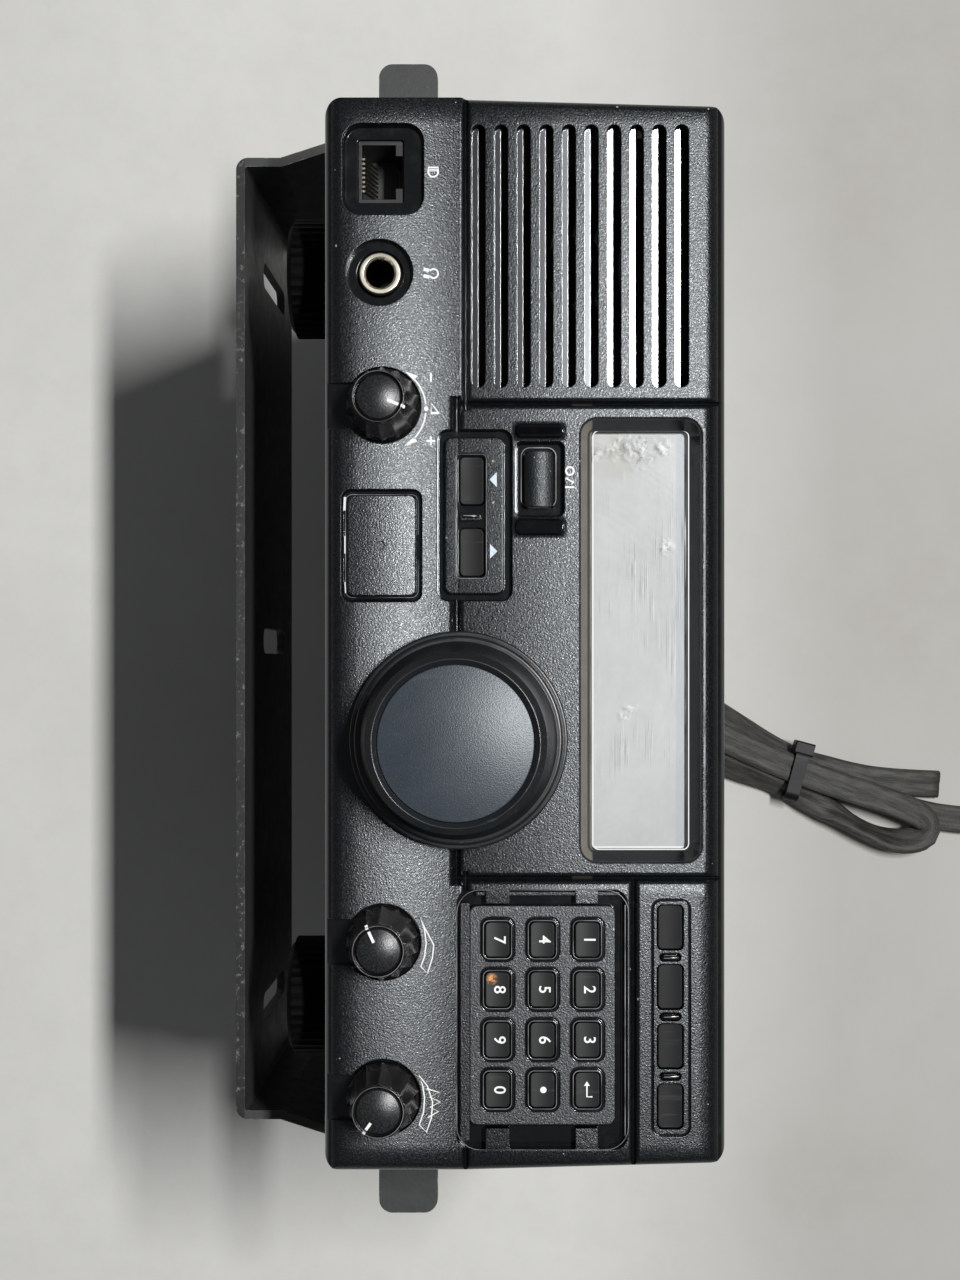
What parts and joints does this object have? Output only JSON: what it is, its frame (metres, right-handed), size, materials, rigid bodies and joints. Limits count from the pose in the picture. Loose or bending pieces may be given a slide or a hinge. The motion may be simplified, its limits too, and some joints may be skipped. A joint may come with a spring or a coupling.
{
  "type": "hf transceiver",
  "caption": "Mobile shortwave transceiver with a keypad, display, tuning dial and control knobs, in a tilting U bracket, lying on its back with its leads tied in a bundle.",
  "frame": {"origin": "on the surface that the radio lies on, under the middle of the radio's and bracket's common outline, so at half the width across the ears and half way from the bracket's base to the top edge of the front panel", "axes": "+X from the radio's left side to its right as its user faces the front panel, +Y from its bottom cover towards its top cover, +Z out of the front panel. The radio lies on its back, on the edges of its rear heat sinks, with the front panel facing up, as pictured"},
  "size_m": [0.286, 0.3638, 0.2598],
  "materials": {
    "panel_plastic": "fine satin moulding, near black",
    "button_plastic": "satin moulding, near black",
    "knob_plastic": "polished black moulding",
    "window": "clear, slightly scratched",
    "display": "grey-green liquid crystal cell in a black tray",
    "disc_metal": "fine satin, blue-grey",
    "bright_metal": "bright nickel plate",
    "contact_metal": "gold-plated spring wire",
    "case_paint": "black textured paint on steel sheet",
    "bracket_paint": "dark grey paint on steel, worn at the edges",
    "casting": "die-cast, satin",
    "sink_paint": "black anodised extrusion",
    "rubber": "matt black rubber",
    "board": "green laminate",
    "cone": "black paper cone on a steel basket",
    "lead_jacket": "dull grey-brown vinyl, lightly dusty",
    "nylon": "black moulded nylon"
  },
  "bodies": {
    "radio": {"front_panel": "panel_plastic", "display_window": "window", "display_module": "display", "keypad_plate": "panel_plastic", "tuning_encoder": "casting", "control_pots": "casting", "mic_socket": "panel_plastic", "mic_contacts": "contact_metal", "phones_socket": "bright_metal", "blank_cover": "panel_plastic", "control_board": "board", "speaker": "cone", "top_cover": "case_paint", "bottom_cover": "case_paint", "cover_screws": "bright_metal", "chassis": "casting", "left_heat_sink": "sink_paint", "right_heat_sink": "sink_paint", "main_board": "board", "amplifier_board": "board", "front_feet": "rubber", "rear_feet": "rubber", "foot_screws": "bright_metal", "antenna_socket": "bright_metal", "ground_terminal": "bright_metal", "rear_sockets": "panel_plastic", "lead_glands": "rubber", "bracket_screws": "nylon", "bracket_spacers": "rubber", "power_lead": "lead_jacket", "lead_coil": "lead_jacket", "power_plug": "nylon", "accessory_lead": "lead_jacket", "cable_tie": "nylon"},
    "tuning_dial": {"tuning_knob": "knob_plastic", "tuning_inlay": "disc_metal", "tuning_shaft": "bright_metal"},
    "tilt_bracket": {"bracket": "bracket_paint"},
    "clarifier_control": {"clarifier_knob": "knob_plastic"},
    "volume_control": {"volume_knob": "knob_plastic"},
    "squelch_control": {"squelch_knob": "knob_plastic"},
    "key_1_piece": {"key_1": "button_plastic"},
    "key_2_piece": {"key_2": "button_plastic"},
    "key_3_piece": {"key_3": "button_plastic"},
    "key_enter_piece": {"key_enter": "button_plastic"},
    "key_4_piece": {"key_4": "button_plastic"},
    "key_5_piece": {"key_5": "button_plastic"},
    "key_6_piece": {"key_6": "button_plastic"},
    "key_function_piece": {"key_function": "button_plastic"},
    "key_7_piece": {"key_7": "button_plastic"},
    "key_8_piece": {"key_8": "button_plastic"},
    "key_9_piece": {"key_9": "button_plastic"},
    "key_0_piece": {"key_0": "button_plastic"},
    "side_button_1_piece": {"side_button_1": "button_plastic"},
    "side_button_2_piece": {"side_button_2": "button_plastic"},
    "side_button_3_piece": {"side_button_3": "button_plastic"},
    "side_button_4_piece": {"side_button_4": "button_plastic"},
    "down_button_piece": {"down_button": "button_plastic"},
    "up_button_piece": {"up_button": "button_plastic"},
    "power_button_piece": {"power_button": "button_plastic"}
  },
  "joints": [
    {"name": "tuning_turn", "type": "hinge", "parent": "radio", "child": "tuning_dial", "pos_m": [0.0231, -0.00065, 0.25], "axis": [0, 0, 1], "continuous": true},
    {"name": "clarifier_turn", "type": "hinge", "parent": "radio", "child": "clarifier_control", "pos_m": [-0.0504, -0.01745, 0.245], "axis": [0, 0, 1], "range_deg": [-130, 170]},
    {"name": "volume_turn", "type": "hinge", "parent": "radio", "child": "volume_control", "pos_m": [0.0676, -0.01745, 0.245], "axis": [0, 0, 1], "range_deg": [-265, 35]},
    {"name": "squelch_turn", "type": "hinge", "parent": "radio", "child": "squelch_control", "pos_m": [0.1018, -0.01745, 0.245], "axis": [0, 0, 1], "range_deg": [-25, 275]},
    {"name": "key_1_press", "type": "slide", "parent": "radio", "child": "key_1_piece", "axis": [0, 0, -1], "range_m": [0, 0.001], "stiffness_N_per_m": 900, "springref_m": -0.0008},
    {"name": "key_2_press", "type": "slide", "parent": "radio", "child": "key_2_piece", "axis": [0, 0, -1], "range_m": [0, 0.001], "stiffness_N_per_m": 900, "springref_m": -0.0008},
    {"name": "key_3_press", "type": "slide", "parent": "radio", "child": "key_3_piece", "axis": [0, 0, -1], "range_m": [0, 0.001], "stiffness_N_per_m": 900, "springref_m": -0.0008},
    {"name": "key_enter_press", "type": "slide", "parent": "radio", "child": "key_enter_piece", "axis": [0, 0, -1], "range_m": [0, 0.001], "stiffness_N_per_m": 900, "springref_m": -0.0008},
    {"name": "key_4_press", "type": "slide", "parent": "radio", "child": "key_4_piece", "axis": [0, 0, -1], "range_m": [0, 0.001], "stiffness_N_per_m": 900, "springref_m": -0.0008},
    {"name": "key_5_press", "type": "slide", "parent": "radio", "child": "key_5_piece", "axis": [0, 0, -1], "range_m": [0, 0.001], "stiffness_N_per_m": 900, "springref_m": -0.0008},
    {"name": "key_6_press", "type": "slide", "parent": "radio", "child": "key_6_piece", "axis": [0, 0, -1], "range_m": [0, 0.001], "stiffness_N_per_m": 900, "springref_m": -0.0008},
    {"name": "key_function_press", "type": "slide", "parent": "radio", "child": "key_function_piece", "axis": [0, 0, -1], "range_m": [0, 0.001], "stiffness_N_per_m": 900, "springref_m": -0.0008},
    {"name": "key_7_press", "type": "slide", "parent": "radio", "child": "key_7_piece", "axis": [0, 0, -1], "range_m": [0, 0.001], "stiffness_N_per_m": 900, "springref_m": -0.0008},
    {"name": "key_8_press", "type": "slide", "parent": "radio", "child": "key_8_piece", "axis": [0, 0, -1], "range_m": [0, 0.001], "stiffness_N_per_m": 900, "springref_m": -0.0008},
    {"name": "key_9_press", "type": "slide", "parent": "radio", "child": "key_9_piece", "axis": [0, 0, -1], "range_m": [0, 0.001], "stiffness_N_per_m": 900, "springref_m": -0.0008},
    {"name": "key_0_press", "type": "slide", "parent": "radio", "child": "key_0_piece", "axis": [0, 0, -1], "range_m": [0, 0.001], "stiffness_N_per_m": 900, "springref_m": -0.0008},
    {"name": "side_button_1_press", "type": "slide", "parent": "radio", "child": "side_button_1_piece", "axis": [0, 0, -1], "range_m": [0, 0.001], "stiffness_N_per_m": 900, "springref_m": -0.0008},
    {"name": "side_button_2_press", "type": "slide", "parent": "radio", "child": "side_button_2_piece", "axis": [0, 0, -1], "range_m": [0, 0.001], "stiffness_N_per_m": 900, "springref_m": -0.0008},
    {"name": "side_button_3_press", "type": "slide", "parent": "radio", "child": "side_button_3_piece", "axis": [0, 0, -1], "range_m": [0, 0.001], "stiffness_N_per_m": 900, "springref_m": -0.0008},
    {"name": "side_button_4_press", "type": "slide", "parent": "radio", "child": "side_button_4_piece", "axis": [0, 0, -1], "range_m": [0, 0.001], "stiffness_N_per_m": 900, "springref_m": -0.0008},
    {"name": "down_button_press", "type": "slide", "parent": "radio", "child": "down_button_piece", "axis": [0, 0, -1], "range_m": [0, 0.001], "stiffness_N_per_m": 900, "springref_m": -0.0008},
    {"name": "up_button_press", "type": "slide", "parent": "radio", "child": "up_button_piece", "axis": [0, 0, -1], "range_m": [0, 0.001], "stiffness_N_per_m": 900, "springref_m": -0.0008},
    {"name": "power_button_press", "type": "slide", "parent": "radio", "child": "power_button_piece", "axis": [0, 0, -1], "range_m": [0, 0.001], "stiffness_N_per_m": 900, "springref_m": -0.0008},
    {"name": "bracket_tilt", "type": "hinge", "parent": "radio", "child": "tilt_bracket", "pos_m": [0, 0.00775, 0.152], "axis": [1, 0, 0], "range_deg": [-11, 11]}
  ]
}
